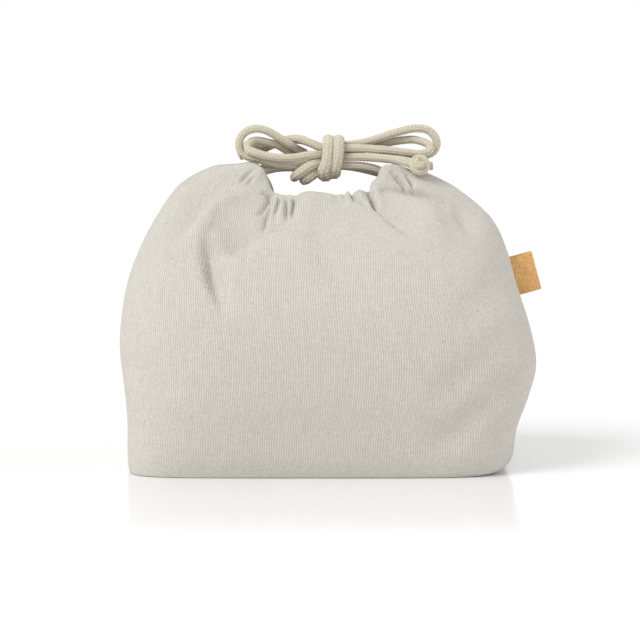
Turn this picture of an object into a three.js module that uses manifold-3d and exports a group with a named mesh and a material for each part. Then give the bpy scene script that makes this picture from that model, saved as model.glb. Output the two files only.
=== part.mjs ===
// Lunch bag of undyed cotton canvas. A front and a back panel rise from an oblong base and are
// gathered at the mouth by two drawcords, which leave the casing at the sides and are tied in a bow.
// Millimetres: the front is towards -Y, +Z is up, and the bag stands on Z = 0.
import * as THREE from 'three';
import { mergeVertices } from 'three/addons/utils/BufferGeometryUtils.js';
import Module from 'manifold-3d';

const wasm = await Module();
wasm.setup();

// Driving sizes
const cloth = 1.5; // canvas, washed and a little puffed
const casing = 6; // hem at the mouth: two layers with the cord between them
const allowance = 1.7; // turned-in cloth behind each side seam
const allowanceWidth = 9;
const slitWidth = 9.6; // between the casing ends above each side seam
const slitReach = 10; // how far from a seam the casing is pulled aside
const valleyDepth = { left: 5, right: 6 }; // how far the slit's edges sink between the casing ends
const valleyWidth = 5.5;
const foldLimit = 4; // the highest or deepest that a fold gets
const foldFade = 12; // folds flatten this near a side seam
const hemEvenness = 0.7; // share of a fold that the casing's inner face doesn't follow
const gap = 0.3; // between pieces that touch
const cordWidth = 3.8;
const tabTall = 19.8;
const tabWide = 14.4; // of which the seam holds the last few millimetres
const tabThick = 1.3;
const tabCorner = 2;
const tabTilt = 15.5; // degrees
const tabMiddle = [96.1, 94.2]; // x and z
const knotWidth = 10.8; // of each stopper knot
const cutEnd = 7; // length of cord left past a stopper knot's middle

// How finely the solids are cut
const columns = 42; // across each panel
const ringSamples = 200;
const cordSides = 8;

function table(names, rows) {
  return rows.map((row) => Object.fromEntries(names.map((name, i) => [name, row[i]])));
}

function smoothstep(from, to, value) {
  const q = Math.min(1, Math.max(0, (value - from) / (to - from)));
  return q * q * (3 - 2 * q);
}

function piece(name, geometry, material) {
  const mesh = new THREE.Mesh(geometry, material.clone());
  mesh.name = name;
  return mesh;
}

// A closed geometry as a solid that can be joined and cut, and back again.
function solidOf(geometry) {
  const bare = geometry.clone();
  bare.deleteAttribute('normal');
  bare.deleteAttribute('uv');
  const merged = mergeVertices(bare, 1e-4);
  return new wasm.Manifold(new wasm.Mesh({
    numProp: 3,
    vertProperties: new Float32Array(merged.attributes.position.array),
    triVerts: new Uint32Array(merged.index.array),
  }));
}

function geometryOf(solid) {
  const mesh = solid.getMesh();
  const geometry = new THREE.BufferGeometry();
  geometry.setAttribute('position', new THREE.BufferAttribute(mesh.vertProperties, 3));
  geometry.setIndex(new THREE.BufferAttribute(mesh.triVerts, 1));
  return geometry;
}

// The bag's levels from the base edge to the lip of the mouth. left and right are where a level
// crosses the side seams, front and back where it crosses the middle of the panels, each with its
// height. square is 2 for an oval level and more for a boxy one. climb says how near the seams a
// level starts to rise from its front height to its side height, and crest how soon it gets there.
const levels = table(
  ['left', 'leftZ', 'right', 'rightZ', 'front', 'frontZ', 'back', 'backZ', 'square', 'climb', 'crest'],
  [
    [-98.5, 0, 81, 0, -51, 0, 51, 0, 6.5, 2, 1],
    [-99.3, 2.5, 86, 2, -52, 2.5, 52, 2.5, 6, 2, 1],
    [-99.8, 9, 90, 7.5, -54.5, 9, 54, 9, 5.2, 2, 1],
    [-100, 23, 92, 20, -57.5, 23, 57, 23, 4.4, 2, 1],
    [-101.5, 38, 97.8, 35, -60.5, 38, 60, 38, 3.8, 2, 1],
    [-104, 56, 102, 51, -62, 54, 62, 54, 3.4, 2, 1],
    [-103.2, 74, 99, 69, -61.5, 70, 61, 70, 3.2, 2, 1],
    [-100, 92, 93, 88, -58, 86, 57, 86, 3, 2, 1],
    [-93.4, 109.5, 88.4, 105, -51.5, 100, 50, 100, 2.8, 2, 1],
    [-84.6, 125.6, 80.2, 122, -43, 111.5, 42, 111, 2.6, 2, 1],
    [-74.4, 139, 64.8, 135.6, -34, 121.5, 33.5, 120, 2.5, 2.4, 1],
    [-60.2, 147, 52.4, 142.6, -25.5, 129, 25.5, 127, 2.4, 3.4, 1.2],
    [-49, 149.4, 41, 147, -19.5, 133.2, 19.5, 130.5, 2.5, 7, 3],
    [-39, 150.2, 33, 149.6, -15, 135, 15, 131.6, 2.8, 11, 5],
    [-34.5, 144, 28, 143, -11, 131.5, 11, 128.5, 2.8, 11, 5],
  ],
);
const lastLevel = levels.length - 1;
const casingStart = lastLevel - 4;
const slitStart = lastLevel - 2.7;
const rimStart = lastLevel - 2;
const heights = [];
for (let t = 0; t < lastLevel - 5.01; t += 0.5) heights.push(t);
for (let k = 15; k >= 0; k--) heights.push(lastLevel - k / 3);

// Where the front of the mouth's rim stands above its level line, or sinks below it.
const rimRises = table(['x', 'rise', 'width'], [
  [-31.5, 2, 2.5],
  [-16.9, -2.2, 1.6],
  [21.5, 4.4, 5.5],
]);

// A smooth curve through one column of the levels, at level t.
function column(name, t) {
  const i = Math.min(lastLevel - 1, Math.floor(t));
  const at = (k) => levels[Math.min(lastLevel, Math.max(0, k))][name];
  const [a, b, c, d] = [at(i - 1), at(i), at(i + 1), at(i + 2)];
  const q = t - i;
  return b + 0.5 * q * (c - a + q * (2 * a - 5 * b + 4 * c - d + q * (3 * (b - c) + d - a)));
}

// One panel's level line at t, as points at even distances from the left seam to the right one.
function levelLine(side, t) {
  const shape = ['left', 'right', 'square', 'climb', 'crest'].map((name) => column(name, t));
  const [left, right, square, climb, crest] = shape;
  const depth = column(side, t);
  const middle = (left + right) / 2;
  const half = (right - left) / 2;
  const middleZ = column(`${side}Z`, t);
  const samples = [];
  for (let i = 0; i <= ringSamples; i++) {
    const turn = Math.PI * (1 - i / ringSamples);
    const across = Math.sign(Math.cos(turn)) * Math.abs(Math.cos(turn)) ** (2 / square);
    const sideZ = column(across < 0 ? 'leftZ' : 'rightZ', t);
    const x = middle + half * across;
    let z = middleZ + (sideZ - middleZ) * (1 - (1 - Math.abs(across) ** climb) ** crest);
    for (const rim of side === 'front' ? rimRises : []) {
      z += rim.rise * Math.exp(-(((x - rim.x) / rim.width) ** 2)) * smoothstep(rimStart, lastLevel, t);
    }
    samples.push(new THREE.Vector3(x, depth * Math.sin(turn) ** (2 / square), z));
  }
  const lengths = [0];
  for (let i = 1; i <= ringSamples; i++) {
    lengths.push(lengths[i - 1] + samples[i].distanceTo(samples[i - 1]));
  }
  const line = [];
  let k = 1;
  for (let i = 0; i <= columns; i++) {
    const wanted = (lengths[ringSamples] * i) / columns;
    while (k < ringSamples && lengths[k] < wanted) k++;
    const share = (wanted - lengths[k - 1]) / (lengths[k] - lengths[k - 1]);
    line.push(samples[k - 1].clone().lerp(samples[k], Math.min(1, share)));
  }
  return { line, length: lengths[ringSamples] };
}

// Folds seen from the front: each runs through three points, with its rise above the smooth cloth
// at each of them (below zero is a trough) and its width. The back has folds of its own.
const foldColumns = ['x1', 'z1', 'rise1', 'x2', 'z2', 'rise2', 'x3', 'z3', 'rise3', 'width'];
const folds = {
  front: table(foldColumns, [
    // Left shoulder: the long ridge from the casing, the shade under it and the dent beside it
    [-37, 140, 1.3, -60, 127.5, 3, -84, 102, 0, 6],
    [-43, 133, -0.6, -51, 120, -2.2, -61, 107, -1, 6.5],
    [-57, 114, -1.5, -59.5, 101, -4, -51, 75, 0, 4.6],
    [-50, 112, 0.5, -49, 98, 1.4, -44, 80, 0, 6],
    // Left casing end
    [-36.5, 146, -1, -40.5, 142, -1.4, -46, 138, 0, 2.4],
    // Left gathers
    [-28, 135, -1.6, -22, 134, -2.6, -17, 133, -2, 4.5],
    [-27, 133, -1.2, -31, 127, -1.6, -37, 119, 0, 2.8],
    [-23.4, 132, 1, -26, 125, 1, -28, 116, 0, 2.8],
    [-17, 133, -1.2, -18.5, 127, -2, -20, 118, 0, 3],
    // Middle
    [-11, 134, 0.6, -11.5, 122, 1.1, -14, 104, 0, 5],
    [3, 136, -1, 3.5, 131, -0.8, 5, 124, 0, 2.8],
    // Right gathers
    [8, 137, 1.4, 9, 132, 1, 10, 127, 0, 2.6],
    [14.5, 139, 1.8, 15, 133, 1.2, 16, 128, 0, 2.8],
    [18.5, 136, -1, 20.5, 131, -2, 24, 125, 0, 2.6],
    [11.5, 134, -0.6, 26, 122, -2.2, 44, 112, 0, 3.6],
    // Right casing end and shoulder
    [24, 143, 1.2, 28, 138, 1.4, 33, 132, 0, 3.2],
    [30, 139, 1.2, 42, 137, 1.8, 58, 128, 0, 3.6],
    [27, 133, -1.4, 38, 130, -1.8, 52, 126, 0, 3.4],
    [37, 127, 1, 48, 119, 2.6, 58, 106, 0, 8],
    [33, 146, -1, 36, 142, -1.4, 40, 137, 0, 2.4],
    // Lower right
    [84, 42, -1.4, 66, 28, -1.6, 44, 11, 0, 7],
    [80, 62, -1.2, 62, 46, -1.2, 42, 32, 0, 8],
    // Left side
    [-96, 52, -1, -86, 48, -1, -70, 40, 0, 6],
  ]),
  back: table(foldColumns, [
    [-33, 138, 1.5, -50, 123, 2.4, -74, 104, 0, 6],
    [-38, 130, -1.4, -54, 114, -2, -66, 92, 0, 5],
    [-24, 132, -1.6, -28, 124, -1.8, -34, 112, 0, 2.8],
    [-13, 131, -1.6, -14, 123, -1.6, -17, 110, 0, 2.8],
    [-5, 131, 1.4, -5, 122, 1.2, -6, 104, 0, 4],
    [2, 131, -1.4, 3, 124, -1.4, 5, 114, 0, 2.8],
    [8, 131, 1.4, 10, 123, 1.2, 13, 112, 0, 3.2],
    [15, 132, -1.6, 18, 124, -2, 24, 111, 0, 2.8],
    [26, 133, 1.4, 38, 121, 2.6, 56, 104, 0, 6],
    [30, 128, -1.6, 44, 111, -2.6, 55, 86, 0, 5],
    [-20, 92, -0.8, -34, 78, -1.4, -40, 56, 0, 9],
    [66, 34, -1.2, 48, 22, -1.4, 30, 10, 0, 7],
  ]),
};

// How far the folds lift the cloth at a point of a panel. Where folds meet they don't add up
// beyond what the cloth can take.
function foldRise(side, x, z) {
  const steps = 12;
  let rise = 0;
  for (const fold of folds[side]) {
    const controlX = 2 * fold.x2 - (fold.x1 + fold.x3) / 2;
    const controlZ = 2 * fold.z2 - (fold.z1 + fold.z3) / 2;
    let nearest = Infinity;
    let along = 0;
    for (let i = 0; i <= steps; i++) {
      const q = i / steps;
      const [a, b, c] = [(1 - q) ** 2, 2 * q * (1 - q), q * q];
      const away = Math.hypot(
        x - a * fold.x1 - b * controlX - c * fold.x3,
        z - a * fold.z1 - b * controlZ - c * fold.z3,
      );
      if (away < nearest) {
        nearest = away;
        along = q;
      }
    }
    const height = along < 0.5
      ? fold.rise1 + (fold.rise2 - fold.rise1) * smoothstep(0, 0.5, along)
      : fold.rise2 + (fold.rise3 - fold.rise2) * smoothstep(0.5, 1, along);
    rise += height * Math.exp(-((nearest / fold.width) ** 2));
  }
  return foldLimit * Math.tanh(rise / foldLimit);
}

// A panel's outer and inner faces as grids of points, one row for each height.
function panelGrids(side) {
  const lines = heights.map((t) => levelLine(side, t));
  const outward = side === 'front' ? -1 : 1;
  const last = heights.length - 1;
  const outer = [];
  const inner = [];
  heights.forEach((t, j) => {
    const hem = smoothstep(casingStart, casingStart + 1.5, t);
    const slit = smoothstep(slitStart, slitStart + 1.2, t);
    const { line, length } = lines[j];
    outer.push([]);
    inner.push([]);
    for (let i = 0; i <= columns; i++) {
      const atSeam = i === 0 || i === columns;
      const across = atSeam
        ? new THREE.Vector3(0, i === 0 ? outward : -outward, 0)
        : line[i + 1].clone().sub(line[i - 1]);
      const up = lines[Math.min(last, j + 1)].line[i].clone().sub(lines[Math.max(0, j - 1)].line[i]);
      const normal = across.cross(up).multiplyScalar(-outward);
      if (j === 0) normal.setZ(0);
      normal.normalize();
      const fromSeam = (Math.min(i, columns - i) / columns) * length;
      const rise = foldRise(side, line[i].x, line[i].z) * (1 - Math.exp(-((fromSeam / foldFade) ** 2)));
      const depth = i < columns / 2 ? valleyDepth.left : valleyDepth.right;
      const valley = depth * slit * Math.exp(-((fromSeam / valleyWidth) ** 2));
      const turnedIn = allowance * Math.exp(-((fromSeam / allowanceWidth) ** 4)) * (1 - hem);
      const thick = cloth + turnedIn + (casing - cloth) * hem;
      const apart = 0.5 * gap + 0.5 * (slitWidth - gap) * slit;
      const place = (lift) => {
        const p = line[i].clone().addScaledVector(normal, lift);
        p.z -= valley;
        const away = atSeam ? 0 : Math.max(0, outward * p.y);
        p.y = outward * (away + apart * Math.exp(-away / slitReach));
        p.z = Math.max(0, p.z);
        return p;
      };
      outer[j].push(place(rise));
      inner[j].push(place(rise * (1 - hemEvenness * hem) - thick));
    }
  });
  return { outer, inner };
}

// A closed solid from a loop of rows that runs up the outer face and down the inner one. The inner
// face stops short of the lip, which is left round.
function panelGeometry({ outer, inner }, side) {
  const innerTop = inner.length - 3;
  const loop = [...outer, ...inner.slice(0, innerTop + 1).reverse()];
  const positions = loop.flat().flatMap((p) => [p.x, p.y, p.z]);
  const index = [];
  const wide = columns + 1;
  const face = (...corners) => {
    if (side === 'back') corners.reverse();
    for (let k = 2; k < corners.length; k++) index.push(corners[0], corners[k - 1], corners[k]);
  };
  for (let j = 0; j < loop.length; j++) {
    const [low, high] = [j * wide, ((j + 1) % loop.length) * wide];
    for (let i = 0; i < columns; i++) face(low + i, low + i + 1, high + i + 1, high + i);
  }
  for (const i of [0, columns]) {
    const out = (j) => j * wide + i;
    const into = (j) => (outer.length + innerTop - j) * wide + i;
    const end = (...corners) => face(...(i === 0 ? corners : corners.reverse()));
    for (let j = 0; j < innerTop; j++) end(out(j), out(j + 1), into(j + 1), into(j));
    for (let j = innerTop; j < outer.length - 1; j++) end(into(innerTop), out(j), out(j + 1));
  }
  const geometry = new THREE.BufferGeometry();
  geometry.setAttribute('position', new THREE.Float32BufferAttribute(positions, 3));
  geometry.setIndex(index);
  return geometry;
}

// The base fills the panels' lower edges, and takes its outline from them.
function baseGeometry(front, back) {
  const edge = [...front.inner[0], ...[...back.inner[0]].reverse()];
  const wall = [...front.outer[0], ...[...back.outer[0]].reverse()];
  const outline = edge.map((p, i) => {
    const inwards = p.clone().sub(wall[i]).setZ(0).normalize();
    return new THREE.Vector2(p.x + gap * inwards.x, p.y + gap * inwards.y);
  });
  return new THREE.ExtrudeGeometry(new THREE.Shape(outline), { depth: cloth, bevelEnabled: false });
}

// The side tab stands in the plane of the seam, its outer corners rounded. With spare it is the
// slot that the tab takes in the seam.
function tabGeometry(spare) {
  const [tall, thick] = [tabTall + 2 * spare, tabThick + 2 * spare];
  const shape = new THREE.Shape();
  shape.moveTo(-tabWide / 2 - spare, -tall / 2);
  shape.lineTo(tabWide / 2 - tabCorner, -tall / 2);
  shape.absarc(tabWide / 2 - tabCorner, -tall / 2 + tabCorner, tabCorner, -Math.PI / 2, 0);
  shape.lineTo(tabWide / 2, tall / 2 - tabCorner);
  shape.absarc(tabWide / 2 - tabCorner, tall / 2 - tabCorner, tabCorner, 0, Math.PI / 2);
  shape.lineTo(-tabWide / 2 - spare, tall / 2);
  const geometry = new THREE.ExtrudeGeometry(shape, { depth: thick, bevelEnabled: false, curveSegments: 4 });
  geometry.translate(0, 0, -thick / 2);
  geometry.rotateZ(THREE.MathUtils.degToRad(tabTilt));
  geometry.rotateX(Math.PI / 2);
  geometry.translate(tabMiddle[0], 0, tabMiddle[1]);
  return geometry;
}

// The drawcords. Both strands of a cord leave the casing ends at one side, meet in the knot, make a
// loop of the bow on the far side, and come back through the knot to a stopper knot.
const routes = {
  drawcord_left_a: [
    [-40.4, -4.4, 143], [-40.35, -3.8, 143], [-39.7, -2.8, 143.2], [-38, -2.25, 143.6], [-30, -1, 146],
    [-24, 1, 146.9], [-12, 2.4, 147], [-7.5, 4.2, 147], [-4.4, 5.8, 146.1], [-2.6, 5, 144.1],
    [-2, 2.2, 142.7], [-2.2, -1.2, 142.4], [-2.7, -4.4, 143.4], [-2.9, -6.6, 145.6], [-1.8, -7.5, 149],
    [-0.9, -6.9, 155.4], [-0.7, -5.5, 159.2], [-0.8, -1.7, 161.2], [-0.8, 2.8, 160.9], [-0.6, 6.4, 159],
    [0.6, 7.6, 156], [3, 8.1, 154], [8, 7.9, 153.7], [20, 8.8, 157], [27, 7.8, 158.9], [40.5, 4.4, 160.8],
    [45.2, 2.2, 160], [48.6, -0.1, 158.5], [49.7, -2.2, 156.6], [48.2, -3.6, 154.7], [44.5, -3.6, 153.8],
    [38, -3.2, 154.4], [18, -2.5, 156.4], [-1, -1.9, 156.7], [-5, -1.5, 157.1], [-10, -0.2, 159.2],
    [-15.5, 2.2, 161.2], [-21.5, 5.4, 160.8], [-28, 6.6, 158.6], [-35.6, 6.5, 157.2],
  ],
  drawcord_left_b: [
    [-40.4, 4.4, 143], [-40.35, 3.8, 143], [-39.7, 2.85, 143.3], [-38, 2.3, 144], [-30, 2.9, 148.2],
    [-24, 3.2, 150.6], [-12, 2.7, 151.1], [-7, 5.1, 151.2], [-2, 6.8, 150.6], [1.6, 7, 148.6],
    [2.6, 5.6, 145.4], [2.1, 1.6, 143.6], [1.9, -3.2, 143.8], [2.4, -6.3, 146.4], [3.5, -7.2, 150.4],
    [4, -7, 155], [4.1, -5.5, 159.2], [4.1, -1.8, 161.2], [4.2, 2.4, 160.7], [4.9, 5.6, 159.2],
    [7, 7, 158.2], [11, 6.6, 158.4], [18, 5.2, 159.6], [34, 2.8, 164.6], [42, 2, 166.3],
    [48.2, 1.8, 165.6], [51.8, 1.6, 162.6], [53, 1.4, 158.8], [51.6, 1.3, 155.2], [47.8, 1.3, 153.2],
    [41, 1.6, 153.6], [32, 1.9, 155.2], [20, 1.8, 156.3], [0, 2.4, 156.5], [-5, 2.8, 157.3],
    [-10, 4.2, 159.2], [-15.5, 6.8, 160.6], [-21.5, 9.9, 159.8], [-28, 11, 158.3], [-35.4, 10.2, 155],
  ],
  drawcord_right_a: [
    [33.7, -4.4, 140.7], [33.6, -3.8, 140.7], [32.9, -2.8, 141], [31.2, -2.25, 141.9],
    [24.5, -2.1, 145.6], [18.5, -2, 147.3], [12, -2.1, 148], [4, -2.3, 148.1], [-1, -2.6, 148.4],
    [-5.5, -4.4, 149], [-9.5, -6.4, 148.2], [-13.5, -6.7, 145.6], [-16.9, -4.8, 143], [-17.7, -1, 142],
    [-16.9, 2.6, 142.5], [-15.7, 5.8, 144.9], [-15, 7.2, 148], [-15.6, 7.4, 150.8], [-18, 6.9, 152.8],
    [-21.5, 4.4, 155.2], [-26, 2, 158], [-31, 0.4, 159.4], [-35.5, -0.6, 160.3], [-38.8, -2.2, 159.9],
    [-40.6, -4, 157.4], [-40, -6.9, 155.7], [-36, -8.6, 154.2], [-30, -9, 152.6], [-23, -8.4, 151.9],
    [-16.5, -7.6, 152.2], [-11.5, -6.9, 153.1], [-7.8, -5.8, 153.4], [-4.6, -4.2, 153.3],
    [-1, -2.6, 152.6], [4, -2.4, 152.3], [14, -3.3, 152.3], [22, -4.6, 151.9], [30, -7.4, 151.3],
    [35.2, -9.8, 150.3], [39.4, -11.6, 149],
  ],
  drawcord_right_b: [
    [33.7, 4.4, 140.7], [33.6, 3.8, 140.7], [32.9, 2.8, 140.8], [31.2, 2.25, 141.3], [24.5, 2.1, 144.1],
    [12, 2.1, 147.1], [4, 2, 147.9], [0, 1.9, 147.9], [-3.5, 0.7, 146.8], [-6.7, -2.9, 145.2],
    [-9.3, -4.9, 143.3], [-12, -4.2, 141.4], [-13.1, -0.6, 140.8], [-12.5, 3.4, 141.9], [-11, 6.8, 144.7],
    [-10.2, 8, 148.4], [-10.6, 8, 151.4], [-12.6, 6.8, 154], [-16, 4.2, 155.9], [-20.5, 0.2, 158.6],
    [-31, -2, 165], [-36, -2.2, 166.2], [-40.6, -2.4, 165.2], [-43.9, -2.6, 162.4], [-45.1, -2.8, 158.4],
    [-43.6, -3, 154.4], [-40.6, -3.8, 152.4], [-35.5, -5, 151.2], [-29.5, -5, 149.6], [-22.5, -4, 148.2],
    [-16, -2.6, 147.8], [-11, -1.6, 148.8], [-6.5, -0.2, 150.7], [-2.5, 1.5, 152], [4, 2, 152.2],
    [19, 0.7, 152.1], [26, -1, 151.5], [33, -3.4, 150.8], [37, -5.6, 150.1], [40, -7.3, 149.4],
  ],
};

// A route whose steps fall on its own points, which lie closer where the cord bends more.
class CordRoute extends THREE.CatmullRomCurve3 {
  getPointAt(u, target) {
    return this.getPoint(u, target);
  }

  getTangentAt(u, target) {
    return this.getTangent(u, target);
  }
}

function cordGeometry(points, width) {
  const section = new THREE.Shape();
  for (let i = 0; i < cordSides; i++) {
    const turn = (2 * Math.PI * (i + 0.5)) / cordSides;
    const [x, y] = [(width / 2) * Math.cos(turn), (width / 2) * Math.sin(turn)];
    if (i === 0) section.moveTo(x, y);
    else section.lineTo(x, y);
  }
  section.closePath();
  const route = new CordRoute(points.map((p) => new THREE.Vector3(...p)), false, 'centripetal');
  return new THREE.ExtrudeGeometry(section, { steps: points.length - 1, extrudePath: route });
}

// The room that a cord's end takes in its stopper knot.
function socket(points) {
  const [end, next] = [new THREE.Vector3(...points[0]), new THREE.Vector3(...points[1])];
  const start = end.clone().add(end.clone().sub(next).setLength(gap));
  return solidOf(cordGeometry([start.toArray(), ...points.slice(1)], cordWidth + 2 * gap));
}

// A stopper knot: the two cord ends turned round each other and drawn tight. Each coil is a ring of
// cord, tipped about X and Y (radians) and shifted, and each cut end is a short stub that leans.
const coils = table(['size', 'tipX', 'tipY', 'x', 'y', 'z'], [
  [0.95, 1.35, 0, 0, -1.4, 0],
  [0.9, 1.1, 0.45, 0.5, 1.8, 0.2],
  [0.8, 0.5, 1.25, -0.8, 0, 0],
]);
const cutEnds = table(['lean', 'x', 'y', 'z'], [
  [0.15, 0.3, -1.4, -0.1],
  [-1.55, 3.2, 2.4, -0.6],
]);
// turn is about Y, from a cut end that points to the right.
const stoppers = table(['side', 'x', 'y', 'z', 'turn'], [
  ['left', -39.8, 8, 155.5, 2.5],
  ['right', 43.8, -12, 148.6, 0],
]);

function stopperKnot({ side, x, y, z, turn }) {
  const ring = (knotWidth - cordWidth) / 2;
  const parts = [new THREE.SphereGeometry(ring, 10, 8)];
  for (const coil of coils) {
    const turned = new THREE.TorusGeometry(ring * coil.size, cordWidth / 2, 7, 14);
    parts.push(turned.rotateY(coil.tipY).rotateX(coil.tipX).translate(coil.x, coil.y, coil.z));
  }
  for (const end of cutEnds) {
    const stub = new THREE.CylinderGeometry(cordWidth / 2, cordWidth / 2, cutEnd, cordSides);
    parts.push(stub.rotateZ(end.lean).translate(end.x, end.y, end.z));
  }
  let knot = solidOf(parts[0].rotateY(turn).translate(x, y, z));
  for (const part of parts.slice(1)) knot = knot.add(solidOf(part.rotateY(turn).translate(x, y, z)));
  for (const strand of ['a', 'b']) {
    const tail = [...routes[`drawcord_${side}_${strand}`]].reverse().slice(0, 6);
    knot = knot.subtract(socket(tail));
  }
  return geometryOf(knot);
}

const canvas = new THREE.MeshStandardMaterial({ color: 0xd6d1c6, roughness: 0.95, metalness: 0 });
const braid = new THREE.MeshStandardMaterial({ color: 0xd2c9b8, roughness: 0.8, metalness: 0 });
const kraft = new THREE.MeshStandardMaterial({ color: 0xc29458, roughness: 0.7, metalness: 0 });

const grids = { front: panelGrids('front'), back: panelGrids('back') };
const slot = solidOf(tabGeometry(gap));
const bag = new THREE.Group();
for (const side of ['front', 'back']) {
  const panel = solidOf(panelGeometry(grids[side], side)).subtract(slot);
  bag.add(piece(`${side}_panel`, geometryOf(panel), canvas));
}
bag.add(piece('base_panel', baseGeometry(grids.front, grids.back), canvas));
bag.add(piece('side_tab', tabGeometry(0), kraft));
for (const [name, points] of Object.entries(routes)) {
  bag.add(piece(name, cordGeometry(points, cordWidth), braid));
}
for (const stopper of stoppers) {
  bag.add(piece(`end_knot_${stopper.side}`, stopperKnot(stopper), braid));
}

export default bag;
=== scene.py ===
import math

import bmesh
import bpy
import numpy as np
from mathutils import Matrix, Vector


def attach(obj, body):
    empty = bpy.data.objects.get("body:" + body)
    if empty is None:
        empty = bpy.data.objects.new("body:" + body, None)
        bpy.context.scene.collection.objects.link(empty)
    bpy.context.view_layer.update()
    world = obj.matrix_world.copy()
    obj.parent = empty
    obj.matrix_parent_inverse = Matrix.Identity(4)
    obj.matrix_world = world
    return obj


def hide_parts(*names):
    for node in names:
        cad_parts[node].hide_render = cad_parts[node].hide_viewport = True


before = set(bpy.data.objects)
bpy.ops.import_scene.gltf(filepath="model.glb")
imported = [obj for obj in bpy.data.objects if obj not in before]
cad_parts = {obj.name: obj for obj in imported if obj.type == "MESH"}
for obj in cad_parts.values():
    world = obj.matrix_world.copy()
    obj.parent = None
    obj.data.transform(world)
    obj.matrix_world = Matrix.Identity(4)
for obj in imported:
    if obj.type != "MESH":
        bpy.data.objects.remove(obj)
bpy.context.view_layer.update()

MM = 0.001

# Camera
# The view of the photograph: a long lens a metre in front of the bag, a little above its mouth and
# tipped down towards it.
SENSOR_WIDTH, LENS = 36, 112.95
CAMERA_PLACE = (-5, -1000, 170)
CAMERA_TIP = 5.66

camera_data = bpy.data.cameras.new("camera")
camera_data.sensor_width = SENSOR_WIDTH
camera_data.lens = LENS
camera = bpy.data.objects.new("camera", camera_data)
bpy.context.scene.collection.objects.link(camera)
camera.location = [part * MM for part in CAMERA_PLACE]
camera.rotation_euler = (math.radians(90 - CAMERA_TIP), 0, 0)
bpy.context.scene.camera = camera

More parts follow.
